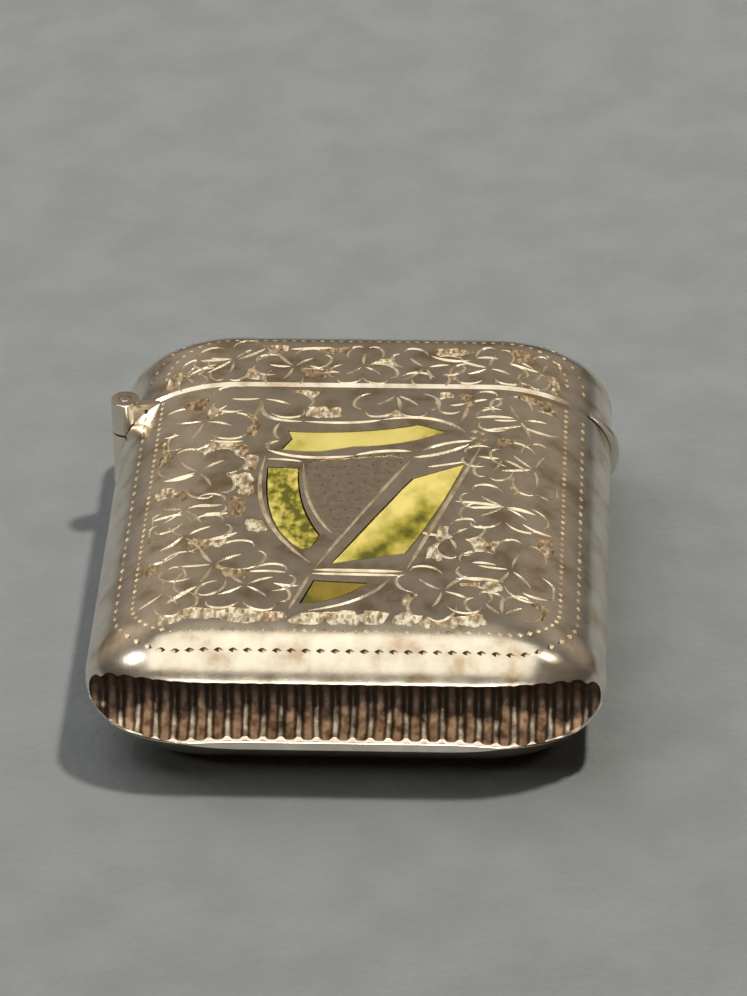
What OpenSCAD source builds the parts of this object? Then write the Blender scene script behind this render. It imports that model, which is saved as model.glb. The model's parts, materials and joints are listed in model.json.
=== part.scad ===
// Cushion-shaped silver vesta case with a side-hinged lid, a fluted striker and a marble harp.
// Width lies along X, length along Y with the striker at -Y, and the face looks up along Z.

/* [Case] */
// Width over the two sides
case_w = 38; // [37:0.5:44]
// Length from the lips of the striker to the end of the lid
case_l = 46; // [45:0.5:54]
// Thickness from the back to the face
case_t = 12; // [11:0.25:14]
// Thickness of the silver sheet
wall = 0.6; // [0.5:0.05:0.8]
// How far the rounded edge reaches in from each side
side_round = 9.5; // [8:0.25:10]
// How far the rounded edge reaches in at the striker end
nose_round = 5.5; // [4.5:0.25:6.5]
// How far the rounded edge reaches in at the end of the lid
tail_round = 4.5; // [3.5:0.25:6]
// Squareness of the corners in plan, where 2 is an ellipse
corner_power = 2.2; // [2:0.1:4]

/* [Lid] */
// Length of the lid beyond its joint with the body
lid_l = 10.5; // [9:0.25:11]
// Gap between the edge of the body and the edge of the lid
joint_gap = 0.1; // [0.08:0.01:0.2]
// How far the hinge barrel and the thumb lip stand out from the sides
stand_out = 0.65; // [0.4:0.05:0.9]
// Height of the thumb lip along the side
lip_h = 6.8; // [5:0.2:8]
// Thickness of the thumb lip
lip_t = 0.6; // [0.4:0.1:1]

/* [Collar] */
// Thickness of the collar inside the mouth of the body
collar_t = 0.4; // [0.3:0.05:0.6]
// How far the collar reaches into the lid
collar_rise = 1.8; // [1.2:0.1:2.4]
// How far the collar reaches down into the body
collar_depth = 3; // [2:0.25:4.5]
// Clearance between the collar and the lid
collar_clear = 0.12; // [0.1:0.01:0.2]

/* [Hinge] */
// Diameter of the hinge barrel
barrel_d = 2.2; // [2:0.1:2.6]
// Length of the whole barrel
barrel_l = 9.2; // [8:0.2:9.6]
// Length of the lid's knuckle in the middle of the barrel
lid_knuckle_l = 3.4; // [3:0.1:4.2]
// Diameter of the hinge pin
pin_d = 0.9; // [0.7:0.05:1.1]
// Clearance between the pin and its bores
pin_clear = 0.03; // [0.02:0.01:0.06]
// Clearance between one knuckle and the next, and round the barrel
knuckle_gap = 0.1; // [0.08:0.01:0.2]
// Distance from the pin's axis to the flats of the heel that the spring presses on
heel = 1.3; // [1.2:0.05:1.5]
// Height of the heel, and of the tab that is soldered inside the lid
tab_h = 2.4; // [2:0.1:2.8]
// Length of the tab inside the lid
tab_l = 3.5; // [2.5:0.25:5]
// Thickness of the tab
tab_t = 0.45; // [0.3:0.05:0.6]
// Thickness of the web beside each of the body's knuckles, where it meets the case
web_t = 0.5; // [0.3:0.05:0.8]

/* [Spring] */
// Thickness of the leaf spring
leaf_t = 0.35; // [0.25:0.05:0.5]
// Width of the leaf spring
leaf_w = 3; // [2.4:0.2:3.6]
// Length of the leaf spring
leaf_l = 14; // [11:0.5:18]
// Length of the seat that the leaf is riveted to
seat_l = 4; // [3:0.25:5]
// Diameter of the rivet's head
rivet_d = 1.4; // [1:0.1:1.8]
// Height of the rivet's head
rivet_h = 0.3; // [0.2:0.05:0.5]
// Clearance between the spring and the heel
heel_clear = 0.06; // [0.04:0.01:0.1]

/* [Striker] */
// Height of the striker's groove between its lips
groove_h = 4.8; // [4:0.1:5.4]
// Depth of the groove behind the lips
groove_d = 3.3; // [2.8:0.1:4]
// Thickness of the striker plate
plate_t = 0.5; // [0.4:0.05:0.7]
// Spacing of the ridges along the groove
ridge_pitch = 1.3; // [1.1:0.05:1.8]
// Height of the ridges
ridge_h = 0.3; // [0.2:0.05:0.4]
// Width of each ridge
ridge_w = 0.45; // [0.3:0.05:0.7]

/* [Stones] */
// Distance from the neck of the harp to the joint of the lid
harp_gap = 5.4; // [5:0.1:8]
// Distance from the start of the flat face to the foot of the harp
harp_set = 0.55; // [0.55:0.05:1.2]
// Distance of the harp's middle from the middle of the face
harp_shift = 0.6; // [0:0.1:0.8]
// Thickness of the marble stones
stone_t = 1; // [0.8:0.05:1.4]
// Thickness of the cement under the stones
cement_t = 0.2; // [0.1:0.05:0.4]
// Thickness of the plate behind the stones
tray_t = 0.3; // [0.2:0.05:0.4]
// Margin of the plate round the harp
tray_margin = 0.5; // [0.4:0.05:0.6]

/* [Hidden] */

silver = "#b9b2a4";
silver_inside = "#c9a95e";
steel = "#7d8088";
marble = "#b8ad4a";
cement = "#8a7a63";
striker_brown = "#8c6b4c";

mid_z = case_t / 2;
flat_x = case_w / 2 - side_round;
groove_r = groove_h / 2;
lips_y = -case_l / 2;
// The nose would close this far in front of the lips if the groove did not cut it
nose_ahead = nose_round * (1 - sqrt(1 - pow(groove_h / case_t, 2)));
nose_y = lips_y - nose_ahead;
front_flat_y = nose_y + nose_round;
tail_y = case_l / 2;
back_flat_y = tail_y - tail_round;
joint_y = tail_y - lid_l;
body_end_y = joint_y - joint_gap / 2;
lid_start_y = joint_y + joint_gap / 2;

barrel_r = barrel_d / 2;
axis_x = -(case_w / 2 + stand_out - barrel_r);
relief_r = barrel_r + knuckle_gap;
// Distance from the pin's axis to the inside of the side wall, and to the outside at the barrel's ends
wall_in = inner_x(tab_h / 2) - axis_x;
wall_out = -flat_x - side_round * sqrt(1 - pow(barrel_l / case_t, 2)) - axis_x;
tab_in = wall_in + tab_t;
heel_back = max(wall_in, 0) + knuckle_gap;
web_l = wall_out + wall;
leaf_x = axis_x + heel + heel_clear;
// The leaf ends level with the heel's flat when the lid is open
leaf_end_y = joint_y + heel;
seat_y = leaf_end_y - leaf_l;

// Room in the collar round the tab and the heel
notch_gap = 0.3;

tray_floor_z = case_t - stone_t - cement_t - tray_t;
tray_rim = 0.3;

// Steps round each side, and rings towards the striker and the end of the lid
side_steps = 9;
nose_angles = [72, 60, 48, 36, 24, 12, 0];
tail_angles = [90, 82, 72, 60, 45, 30, 15, 0];
last = 2 * side_steps + 1;
eps = 0.01;
far = 60;

// Where the inside of the left wall lies at height z from the seam
function inner_x(z) = -flat_x - (side_round - wall) * sqrt(1 - pow(z / (mid_z - wall), 2));

// Share of the side rounding that is left at w, where w runs from 0 on the flat to 1 at the end
function reach(w) = pow(max(0, 1 - pow(w, corner_power)), 1 / corner_power);

// Height of the cushion's surface above the seam, as a share, at s across the side and w along the end
function crown(s, w) =
    sqrt(max(0, 1 - pow(pow(s, corner_power) + pow(w, corner_power), 2 / corner_power)));

// The last ring of the lid keeps this share of its side so that its points stay apart
least_share = 0.08;
function side_share(w) = max(reach(w), least_share);

// Point i of the ring at w, on a surface set in by inset from the outside
function ring_point(i, w, y, inset) =
    let (
        k = i <= side_steps ? side_steps - i : i - side_steps - 1,
        sign = i <= side_steps ? -1 : 1,
        s = side_share(w) * sin(90 * k / side_steps),
        on_seam = k == side_steps || w == 1,
        z = on_seam ? 0 : (case_t / 2 - inset) * crown(s, w)
    )
    [sign * (flat_x + (side_round - inset) * s), y, z];

function ring(w, y, inset) = [for (i = [0 : last]) ring_point(i, w, y, inset)];

function turned(list) = [for (k = [len(list) - 1 : -1 : 0]) list[k]];

// Rings of the body from the nose to the joint, and of the lid from its end back to the joint
function body_rings(inset) = concat(
    [for (a = nose_angles) ring(sin(a), front_flat_y - sin(a) * (nose_round - inset), inset)],
    [ring(0, body_end_y, inset)]
);
function lid_rings(inset) = concat(
    [for (a = tail_angles) turned(ring(sin(a), back_flat_y + sin(a) * (tail_round - inset), inset))],
    [turned(ring(0, lid_start_y, inset))]
);

function flat_list(rings) = [for (r = rings) for (p = r) p];
function two_triangles(q) = [[q[0], q[1], q[2]], [q[0], q[2], q[3]]];

// Closed section of the case at its full size, set in by inset, as points in X and Z about the seam
function section(inset) = concat(
    [for (i = [0 : last]) let (p = ring_point(i, 0, 0, inset)) [p[0], p[2]]],
    [for (i = [last - 1 : -1 : 1]) let (p = ring_point(i, 0, 0, inset)) [p[0], -p[2]]]
);

// Curve from a to b that leans towards c
function bow(a, c, b, steps = 8) =
    [for (k = [0 : steps]) let (t = k / steps) (1 - t) * (1 - t) * a + 2 * t * (1 - t) * c + t * t * b];

// Outlines of the four stones, drawn about the foot of the harp and then scaled to the face
function neck_outline() = concat(
    bow([-6.1, 23.3], [-0.4, 23], [3.8, 24.5]),
    bow([6, 23.5], [3, 21.3], [-1, 21.15]),
    bow([-3.3, 20.45], [-5, 20.25], [-6.5, 20.7], 4),
    [[-5.8, 22.2]]
);
function pillar_outline() = concat(
    bow([-7.35, 18.25], [-7.5, 9.8], [-4.2, 7.05]),
    bow([-3.45, 7.3], [-3, 8.1], [-2.9, 9.05], 2),
    bow([-3.5, 10.4], [-4.85, 13.8], [-4.95, 18.15], 6)
);
function soundboard_outline() = concat(
    bow([4.4, 18.5], [1.1, 12], [-1.9, 5.2]),
    bow([2.8, 4.9], [6, 12.2], [7.5, 19.05])
);
function foot_outline() = concat(
    [[-3.9, 0], [-3.05, 3.05]],
    bow([0.95, 2.8], [-0.4, 0.8], [-2.8, 0.05], 6)
);
harp_points = concat(neck_outline(), pillar_outline(), soundboard_outline(), foot_outline());
drawn_h = max([for (p = harp_points) p[1]]);
drawn_w = 2 * max([for (p = harp_points) abs(p[0])]);

// The harp is as large as the length and the width of the flat face allow
harp_y = front_flat_y + harp_set;
harp_room_l = joint_y - harp_gap - harp_y;
harp_room_w = 2 * (flat_x - harp_shift - tray_margin);
harp_scale = min(harp_room_l / drawn_h, harp_room_w / drawn_w);
harp_h = drawn_h * harp_scale;
harp_w = drawn_w * harp_scale;

// A sheet between an outer and an inner set of rings, open at the seam and at both ends
module sheet(outer, inner) {
    n = len(outer[0]);
    m = len(outer);
    function o(j, i) = j * n + i;
    function v(j, i) = m * n + j * n + i;
    quads = concat(
        [for (j = [0 : m - 2]) for (i = [0 : n - 2]) [o(j, i), o(j + 1, i), o(j + 1, i + 1), o(j, i + 1)]],
        [for (j = [0 : m - 2]) for (i = [0 : n - 2]) [v(j, i), v(j, i + 1), v(j + 1, i + 1), v(j + 1, i)]],
        [for (i = [0 : n - 2]) [o(0, i), o(0, i + 1), v(0, i + 1), v(0, i)]],
        [for (i = [0 : n - 2]) [o(m - 1, i + 1), o(m - 1, i), v(m - 1, i), v(m - 1, i + 1)]],
        [for (j = [0 : m - 2]) [o(j + 1, 0), o(j, 0), v(j, 0), v(j + 1, 0)]],
        [for (j = [0 : m - 2]) [o(j, n - 1), o(j + 1, n - 1), v(j + 1, n - 1), v(j, n - 1)]]
    );
    polyhedron(
        points = concat(flat_list(outer), flat_list(inner)),
        faces = [for (q = quads) for (t = two_triangles(q)) t]
    );
}

// The solid nose of the cushion, both halves, used to trim the striker to the outside
module nose_solid() {
    upper = [for (a = nose_angles) ring(sin(a), front_flat_y - sin(a) * nose_round, 0)];
    loops = [
        for (r = upper)
            concat(r, [for (i = [last - 1 : -1 : 1]) [r[i][0], r[i][1], -r[i][2]]])
    ];
    n = len(loops[0]);
    m = len(loops);
    function at(j, i) = j * n + i % n;
    sides = [
        for (j = [0 : m - 2]) for (i = [0 : n - 1])
            [at(j, i), at(j + 1, i), at(j + 1, i + 1), at(j, i + 1)]
    ];
    polyhedron(
        points = flat_list(loops),
        faces = concat(
            [for (q = sides) for (t = two_triangles(q)) t],
            [[for (i = [0 : n - 1]) at(0, i)]],
            [[for (i = [n - 1 : -1 : 0]) at(m - 1, i)]]
        )
    );
}

// Extrude an outline in X and Z along Y, or an outline in Y and Z along X
module along_y(y0, y1) {
    translate([0, y1, 0]) rotate([90, 0, 0]) linear_extrude(y1 - y0) children();
}
module along_x(x0, x1) {
    translate([x0, 0, 0]) rotate([90, 0, 90]) linear_extrude(x1 - x0) children();
}

// The groove's U in Y and Z about the seam, opened by grow on every side
module groove_outline(grow, steps = 10) {
    r = groove_r + grow;
    bottom_y = lips_y + groove_d - groove_r;
    open_y = nose_y - groove_r;
    arc = [for (k = [0 : steps]) let (a = 90 - 180 * k / steps) [bottom_y + r * cos(a), r * sin(a)]];
    polygon(concat([[open_y, r]], arc, [[open_y, -r]]));
}

// Everything that the hinge needs cut from a shell
module hinge_relief() {
    facets = 12;
    translate([axis_x, joint_y, -barrel_l / 2 - knuckle_gap])
        cylinder(r = relief_r / cos(180 / facets), h = barrel_l + 2 * knuckle_gap, $fn = facets);
}

module pin_bore() {
    translate([axis_x, joint_y, -far / 2])
        cylinder(d = pin_d + 2 * pin_clear, h = far, $fn = 48);
}

module body_half() {
    difference() {
        sheet(body_rings(0), body_rings(wall));
        along_x(-far / 2, far / 2) groove_outline(plate_t);
        hinge_relief();
    }
}

module lid_half() {
    difference() {
        sheet(lid_rings(0), lid_rings(wall));
        hinge_relief();
    }
}

module stone(outline) {
    translate([harp_shift, harp_y, case_t - stone_t])
        linear_extrude(stone_t) polygon(harp_scale * outline);
}

module all_stones() {
    stone(neck_outline());
    stone(pillar_outline());
    stone(soundboard_outline());
    stone(foot_outline());
}

// Flat plate under the harp, with its edges moved out by grow
module harp_plate(grow, z0, z1) {
    translate([harp_shift - harp_w / 2 - grow, harp_y - grow, z0])
        cube([harp_w + 2 * grow, harp_h + 2 * grow, z1 - z0]);
}

// The stamped upper half of the body, with the windows for the stones
module body_front_shell() {
    color(silver) difference() {
        translate([0, 0, mid_z]) body_half();
        all_stones();
    }
}

// The stamped lower half of the body, flat on its back
module body_back_shell() {
    color(silver) translate([0, 0, mid_z]) mirror([0, 0, 1]) body_half();
}

// The fluted trough across the end, trimmed to the outside of the case
module striker_plate() {
    ridges = floor((case_w - 2 * wall) / ridge_pitch);
    color(striker_brown) translate([0, 0, mid_z]) intersection() {
        nose_solid();
        union() {
            difference() {
                along_x(-far / 2, far / 2) groove_outline(plate_t);
                along_x(-far, far) groove_outline(0);
            }
            for (k = [0 : ridges - 1]) {
                x = (k - (ridges - 1) / 2) * ridge_pitch;
                difference() {
                    along_x(x - ridge_w / 2, x + ridge_w / 2) groove_outline(plate_t / 2);
                    along_x(-far, far) groove_outline(-ridge_h);
                }
            }
        }
    }
}

// The collar soldered in the mouth of the body, which the lid closes over
module mouth_collar() {
    seated = wall + eps;
    free = wall + collar_clear;
    inside = free + collar_t;
    notch_h = tab_h + 2 * notch_gap;
    notch_y = joint_y - heel * sqrt(2) - notch_gap;
    color(silver_inside) translate([0, 0, mid_z]) difference() {
        union() {
            along_y(body_end_y - collar_depth, body_end_y) polygon(section(seated));
            along_y(body_end_y - eps, joint_y + collar_rise) polygon(section(free));
        }
        along_y(-far, far) polygon(section(inside));
        translate([-far / 2, notch_y, -notch_h / 2])
            cube([far / 2 + axis_x + tab_in + notch_gap, far, notch_h]);
        hinge_relief();
    }
}

// One of the body's two knuckles, with the web that carries it out from the side
module body_knuckle() {
    z0 = lid_knuckle_l / 2 + knuckle_gap;
    h = barrel_l / 2 - z0;
    color(silver) difference() {
        union() {
            translate([axis_x, joint_y, z0]) cylinder(r = barrel_r, h = h, $fn = 48);
            difference() {
                translate([axis_x, joint_y, z0]) linear_extrude(h) polygon([
                    [0, -barrel_r], [web_l, -web_t], [web_l, -joint_gap / 2], [0, -joint_gap / 2]
                ]);
                along_y(-far, far) polygon(section(0));
            }
        }
        pin_bore();
    }
}

module body_knuckle_upper() {
    translate([0, 0, mid_z]) body_knuckle();
}

module body_knuckle_lower() {
    translate([0, 0, mid_z]) mirror([0, 0, 1]) body_knuckle();
}

// The pin, peened just proud of both ends of the barrel
module hinge_pin() {
    proud = 0.05;
    color(silver) translate([axis_x, joint_y, mid_z - barrel_l / 2 - proud])
        cylinder(d = pin_d, h = barrel_l + 2 * proud, $fn = 48);
}

// The leaf that presses on the heel and snaps the lid open or shut
module lid_spring() {
    color(steel) translate([leaf_x, seat_y, mid_z - leaf_w / 2]) cube([leaf_t, leaf_l, leaf_w]);
}

// The block soldered to the side wall that carries the root of the leaf
module spring_seat() {
    color(silver_inside) translate([0, 0, mid_z]) intersection() {
        along_y(seat_y, seat_y + seat_l) polygon(section(wall));
        translate([-far, -far, -leaf_w / 2]) cube([far + leaf_x, 2 * far, leaf_w]);
    }
}

// The rivet head that holds the leaf on its seat
module spring_rivet() {
    color(steel) translate([leaf_x + leaf_t, seat_y + seat_l / 2, mid_z]) rotate([0, 90, 0])
        cylinder(d = rivet_d, h = rivet_h, $fn = 32);
}

module neck_stone() {
    color(marble) stone(neck_outline());
}

module pillar_stone() {
    color(marble) stone(pillar_outline());
}

module soundboard_stone() {
    color(marble) stone(soundboard_outline());
}

module foot_stone() {
    color(marble) stone(foot_outline());
}

// The cement that fills the tray round and under the stones
module cement_bed() {
    color(cement) difference() {
        harp_plate(tray_margin - tray_rim, tray_floor_z + tray_t, case_t - wall);
        all_stones();
    }
}

// The shallow tray soldered behind the face, which holds stones and cement
module stone_backplate() {
    color(silver_inside) difference() {
        harp_plate(tray_margin, tray_floor_z, case_t - wall);
        harp_plate(tray_margin - tray_rim, tray_floor_z + tray_t, case_t);
    }
}

module lid_front_shell() {
    color(silver) translate([0, 0, mid_z]) lid_half();
}

module lid_back_shell() {
    color(silver) translate([0, 0, mid_z]) mirror([0, 0, 1]) lid_half();
}

// The lid's knuckle, with the tab soldered inside the lid and the heel that works the spring
module lid_knuckle() {
    color(silver) translate([0, 0, mid_z]) difference() {
        union() {
            translate([axis_x, joint_y, -lid_knuckle_l / 2])
                cylinder(r = barrel_r, h = lid_knuckle_l, $fn = 48);
            translate([axis_x, joint_y, -tab_h / 2]) linear_extrude(tab_h)
                polygon([[0, 0], [heel, 0], [heel, -heel], [heel_back, -heel]]);
            intersection() {
                along_y(lid_start_y, lid_start_y + tab_l) polygon(section(wall));
                translate([-far, -far, -tab_h / 2]) cube([far + axis_x + tab_in, 2 * far, tab_h]);
            }
        }
        pin_bore();
    }
}

// The crescent on the edge of the lid that the thumb pushes
module thumb_lip() {
    edge_share = sqrt(1 - pow(lip_h / case_t, 2));
    end_x = flat_x + side_round * edge_share;
    bulge = case_w / 2 + stand_out - end_x;
    arc_r = (pow(lip_h / 2, 2) + bulge * bulge) / (2 * bulge);
    arc_x = case_w / 2 + stand_out - arc_r;
    half_angle = atan2(lip_h / 2, end_x - arc_x);
    steps = 14;
    arc = [
        for (k = [0 : steps]) let (a = half_angle * (2 * k / steps - 1))
            [arc_x + arc_r * cos(a), arc_r * sin(a)]
    ];
    color(silver) translate([0, 0, mid_z]) along_y(lid_start_y, lid_start_y + lip_t) difference() {
        polygon(arc);
        polygon(section(0));
    }
}

body_front_shell();
body_back_shell();
striker_plate();
mouth_collar();
body_knuckle_upper();
body_knuckle_lower();
hinge_pin();
lid_spring();
spring_seat();
spring_rivet();
neck_stone();
pillar_stone();
soundboard_stone();
foot_stone();
cement_bed();
stone_backplate();
lid_front_shell();
lid_back_shell();
lid_knuckle();
thumb_lip();
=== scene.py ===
import json
import math
import random

import bpy
from mathutils import Matrix, Vector


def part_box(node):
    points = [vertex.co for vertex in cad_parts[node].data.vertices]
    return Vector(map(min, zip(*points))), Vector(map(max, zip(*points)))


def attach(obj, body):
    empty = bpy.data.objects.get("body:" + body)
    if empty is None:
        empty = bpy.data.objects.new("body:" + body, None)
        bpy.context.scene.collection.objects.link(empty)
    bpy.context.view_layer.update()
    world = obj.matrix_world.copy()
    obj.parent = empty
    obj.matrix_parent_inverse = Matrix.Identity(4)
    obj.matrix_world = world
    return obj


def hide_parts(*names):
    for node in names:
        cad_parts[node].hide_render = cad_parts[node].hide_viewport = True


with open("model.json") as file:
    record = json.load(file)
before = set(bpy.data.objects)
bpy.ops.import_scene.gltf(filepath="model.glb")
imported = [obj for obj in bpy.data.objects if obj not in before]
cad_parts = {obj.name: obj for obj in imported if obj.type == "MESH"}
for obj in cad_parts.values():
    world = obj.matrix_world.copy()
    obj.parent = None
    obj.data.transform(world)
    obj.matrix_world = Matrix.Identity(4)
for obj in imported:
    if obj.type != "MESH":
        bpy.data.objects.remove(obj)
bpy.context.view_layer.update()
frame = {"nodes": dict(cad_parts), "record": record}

# The viewpoint: a long lens about four tenths of a metre away, looking down on the striker end
# from a third of the way up, a little off the middle and a little out of level.
mm = 0.001
photo_h = 996
focal_px = 5300
view_tilt = math.radians(33)
view_turn = math.radians(-3.228)
view_roll = math.radians(1.013)
view_distance = 403 * mm
view_right = -1.306 * mm
view_up = -8.869 * mm
view_ahead = -1.2 * mm
view_nearest = 10 * mm

level = Vector((math.sin(view_turn), math.cos(view_turn), 0))
across = Vector((math.cos(view_turn), -math.sin(view_turn), 0))
ahead = level * math.cos(view_tilt) - Vector((0, 0, math.sin(view_tilt)))
above = level * math.sin(view_tilt) + Vector((0, 0, math.cos(view_tilt)))
camera_data = bpy.data.cameras.new("viewpoint")
camera_data.lens = focal_px / photo_h * camera_data.sensor_width
camera_data.clip_start = view_nearest
camera = bpy.data.objects.new("viewpoint", camera_data)
bpy.context.scene.collection.objects.link(camera)
eye = -view_right * across - view_up * above - view_distance * ahead + Vector((0, view_ahead, 0))
image_x = across * math.cos(view_roll) - above * math.sin(view_roll)
image_y = across * math.sin(view_roll) + above * math.cos(view_roll)
camera.matrix_world = Matrix.Translation(eye) @ Matrix((image_x, image_y, -ahead)).transposed().to_4x4()
bpy.context.scene.camera = camera

# The stage: a plain pale board in a dim warm room, which only shows as a reflection. A broad lamp, a low one
# in front and two small ones at the sides light the metal. A key lamp behind on the right throws the shadow,
# and a wide fill behind on the left softens it, and the metal mirrors neither of these two.
board_colour = (0.235, 0.24, 0.232, 1)
board_mottle = (0.21, 0.215, 0.208, 1)
board_size = 3
room_low = (0.08, 0.075, 0.07, 1)
room_middle = (0.255, 0.212, 0.166, 1)
room_high = (0.18, 0.165, 0.145, 1)
room_top = (0.6, 0.55, 0.47, 1)
room_side = 0.7

# How strong the room is from front to back, and from left to right
room_depth = [(0, 0.35), (0.4, 1)]
room_width = [(0, 2.3), (0.45, 0.98), (0.55, 1.06), (1, 1.7)]

# Each lamp: its place, its width and height in metres, its power and its colour
lamps = {
    "broad_lamp": ((-0.03, -0.256, 0.43), 0.68, 0.56, 1.33, (1, 0.95, 0.83)),
    "low_lamp": ((0, -0.5, 0.075), 0.5, 0.09, 1.2, (1, 0.93, 0.82)),
    "left_lamp": ((-0.45, -0.21, 0.336), 0.1, 0.1, 0.3, (1, 0.98, 0.95)),
    "right_lamp": ((0.38, -0.155, 0.44), 0.1, 0.1, 0.15, (1, 0.96, 0.88)),
    "key_lamp": ((0.162, 0.1, 0.55), 0.04, 0.04, 2.7, (1, 0.98, 0.93)),
    "left_fill": ((-0.25, 0.2, 0.5), 0.6, 0.6, 2.6, (0.93, 0.97, 1)),
}
unmirrored_lamps = ("key_lamp", "left_fill")
case_only_lamps = ("broad_lamp", "low_lamp")
bpy.context.scene.view_settings.view_transform = "Standard"
bpy.context.scene.cycles.caustics_reflective = False


def grain(tree, size_mm, detail=3, stretch=(1, 1, 1)):
    place = tree.nodes.new("ShaderNodeTexCoord")
    turn = tree.nodes.new("ShaderNodeMapping")
    turn.inputs["Scale"].default_value = stretch
    noise = tree.nodes.new("ShaderNodeTexNoise")
    noise.inputs["Scale"].default_value = 1 / (size_mm * mm)
    noise.inputs["Detail"].default_value = detail
    tree.links.new(place.outputs["Object"], turn.inputs["Vector"])
    tree.links.new(turn.outputs["Vector"], noise.inputs["Vector"])
    return noise.outputs["Fac"]


def ramp(tree, source, stops):
    node = tree.nodes.new("ShaderNodeValToRGB")
    marks = node.color_ramp.elements
    while len(marks) < len(stops):
        marks.new(0.5)
    for mark, (place, colour) in zip(marks, stops):
        mark.position = place
        mark.color = colour if isinstance(colour, tuple) else (colour, colour, colour, 1)
    tree.links.new(source, node.inputs["Fac"])
    return node.outputs["Color"]


def spread(tree, source, low, high, to_low=0, to_high=1):
    node = tree.nodes.new("ShaderNodeMapRange")
    for name, value in zip(("From Min", "From Max", "To Min", "To Max"), (low, high, to_low, to_high)):
        node.inputs[name].default_value = value
    tree.links.new(source, node.inputs["Value"])
    return node.outputs["Result"]


def combine(tree, operation, first, second):
    node = tree.nodes.new("ShaderNodeMath")
    node.operation = operation
    tree.links.new(first, node.inputs[0])
    if isinstance(second, float):
        node.inputs[1].default_value = second
    else:
        tree.links.new(second, node.inputs[1])
    return node.outputs["Value"]


def directions(tree, kind):
    place = tree.nodes.new("ShaderNodeTexCoord")
    parts = tree.nodes.new("ShaderNodeSeparateXYZ")
    tree.links.new(place.outputs[kind], parts.inputs["Vector"])
    return parts.outputs


# A finish. Its colours and its roughness are a grain and the stops of a ramp, or one value for all of it, and
# its bump is a grain and a depth in mm. A grain is its size in mm, its detail and its stretch.
def surface(name, metallic, colours, roughness, bump=None):
    material = bpy.data.materials.new(name)
    material.use_nodes = True
    tree = material.node_tree
    shader = tree.nodes["Principled BSDF"]
    shader.inputs["Metallic"].default_value = metallic
    for socket, look in (("Base Color", colours), ("Roughness", roughness)):
        if isinstance(look, float):
            shader.inputs[socket].default_value = look
        elif look:
            pattern, stops = look
            tree.links.new(ramp(tree, grain(tree, *pattern), stops), shader.inputs[socket])
    if bump:
        pattern, depth = bump
        relief = tree.nodes.new("ShaderNodeBump")
        relief.inputs["Distance"].default_value = depth * mm
        relief.inputs["Strength"].default_value = 1
        tree.links.new(grain(tree, *pattern), relief.inputs["Height"])
        tree.links.new(relief.outputs["Normal"], shader.inputs["Normal"])
    return material


def tint(material, colour):
    tree = material.node_tree
    tree.links.new(colour, tree.nodes["Principled BSDF"].inputs["Base Color"])


def coat(piece, *finishes):
    for finish in finishes:
        piece.data.materials.append(finish)
    return piece


def deselect():
    bpy.ops.object.select_all(action="DESELECT")


deselect()
bpy.ops.mesh.primitive_plane_add(size=board_size)
floor = bpy.context.object
floor.name = "floor"
coat(floor, surface("pale_board", 0, ((6,), [(0.35, board_mottle), (0.65, board_colour)]), 0.7,
                    ((0.8,), 0.15)))

off_board = bpy.data.collections.new("off_board")
off_board.objects.link(floor)
off_board.collection_objects[0].light_linking.link_state = "EXCLUDE"
for name, (place, width, height, power, colour) in lamps.items():
    data = bpy.data.lights.new(name, "AREA")
    data.shape = "RECTANGLE"
    data.size = width
    data.size_y = height
    data.energy = power
    data.color = colour
    light = bpy.data.objects.new(name, data)
    light.location = place
    light.rotation_euler = Vector(place).to_track_quat("Z", "Y").to_euler()
    bpy.context.scene.collection.objects.link(light)
    if name in unmirrored_lamps:
        light.visible_glossy = False
    if name in case_only_lamps:
        light.light_linking.receiver_collection = off_board

room = bpy.data.worlds.new("room")
room.use_nodes = True
room.cycles_visibility.diffuse = False
bpy.context.scene.world = room
sky = room.node_tree
background = sky.nodes["Background"]
rightward, backward, upward = directions(sky, "Generated")
room_heights = ramp(sky, upward, [(0.05, room_low), (0.5, room_middle), (0.9, room_high), (0.99, room_top)])
room_strength = combine(sky, "MULTIPLY", ramp(sky, backward, room_depth),
                        ramp(sky, spread(sky, rightward, -room_side, room_side), room_width))
sky.links.new(room_heights, background.inputs["Color"])
sky.links.new(room_strength, background.inputs["Strength"])

# The back of the body is the lower of two stampings: sheet silver drawn to a cushion, polished outside
# and gilt inside. Its end is cut out for the striker, and its side for the hinge barrel.
wall = 0.6
side_round = 9.5
nose_round = 5.5
tail_round = 4.5
corner_power = 2.2
least_share = 0.08
groove_h = 4.8
groove_d = 3.3
groove_sides = 96
plate_t = 0.5
barrel_d = 2.2
barrel_l = 9.2
barrel_sides = 72
hinge_clear = 0.1
body_chamfer = 0.22
nose_angle = math.radians(80)
filed_half = 0.6
filed_back = 0.3
filed_fade = 10
filed_lean = math.radians(10)
slope_ahead = 0.4 * filed_half
slope_up = 0.65 * filed_half
upright_down = 0.6 * filed_half
row_pitch = 0.6
on_edge = 0.01
on_skin = 0.05
weld = 0.0001
silver_light = (0.89, 0.82, 0.71, 1)
silver_dark = (0.76, 0.69, 0.58, 1)
gilt_light = (0.83, 0.62, 0.3, 1)
gilt_dark = (0.66, 0.46, 0.2, 1)

half_w, body_end_y, mid_z = (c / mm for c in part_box("body_back_shell")[1])
lid_start_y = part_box("lid_back_shell")[0][1] / mm
tail_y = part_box("lid_back_shell")[1][1] / mm
axis_x, joint_y, _ = (c / mm for c in frame["record"]["behaviour"]["joints"][0]["pos_m"])
lips_y = -tail_y
flat_x = half_w - side_round
nose_y = lips_y - nose_round * (1 - math.sqrt(1 - (groove_h / 2 / mid_z) ** 2))
front_flat_y = nose_y + nose_round
back_flat_y = tail_y - tail_round
plate_r = groove_h / 2 + plate_t
bottom_y = lips_y + groove_d - groove_h / 2


# The cushion's form: how wide its end still is, how full it stands, and its height off the seam at a place
def reach(w):
    return max(0, 1 - w ** corner_power) ** (1 / corner_power)


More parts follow.
